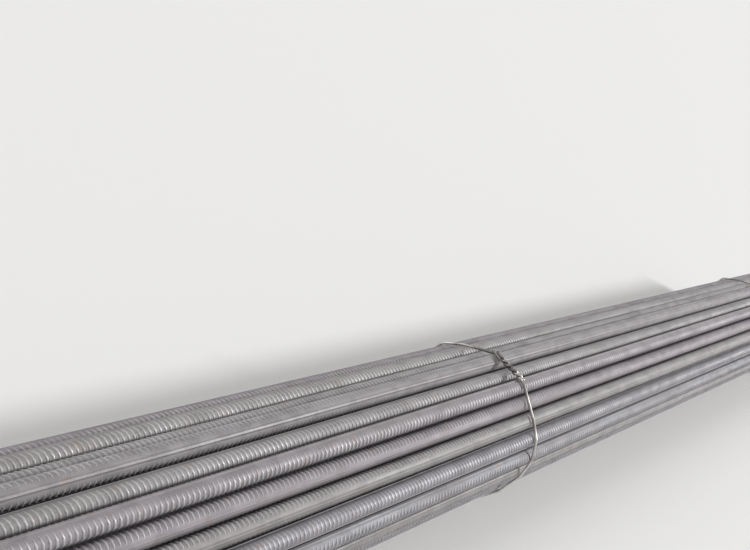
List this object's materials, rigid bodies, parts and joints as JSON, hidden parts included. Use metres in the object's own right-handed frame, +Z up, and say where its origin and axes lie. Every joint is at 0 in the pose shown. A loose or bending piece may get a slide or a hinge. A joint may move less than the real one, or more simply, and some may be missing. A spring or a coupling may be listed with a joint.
{
  "type": "rebar bundle",
  "caption": "Round bundle of long ribbed steel reinforcing bars held by twisted wire ties, lying on a level floor.",
  "frame": {"origin": "on the floor under the middle of the bundle: half-way along the bars and half-way across the widest tie", "axes": "+X along the bars, +Z up, +Y to the left when looking along +X; the side shown in the picture's lower edge is -Y"},
  "size_m": [6.028, 0.3393, 0.3069],
  "materials": {
    "bar_steel": "hot-rolled, dull blue-grey mill scale",
    "tie_wire": "drawn wire rod, pale and dull"
  },
  "bodies": {
    "root": {"bars_layer_1": "bar_steel", "bars_layer_2": "bar_steel", "bars_layer_3": "bar_steel", "bars_layer_4": "bar_steel", "bars_layer_5": "bar_steel", "bars_layer_6": "bar_steel", "bars_layer_7": "bar_steel", "bars_layer_8": "bar_steel", "wire_tie_1": "tie_wire", "wire_tie_2": "tie_wire", "wire_tie_3": "tie_wire"}
  },
  "joints": []
}
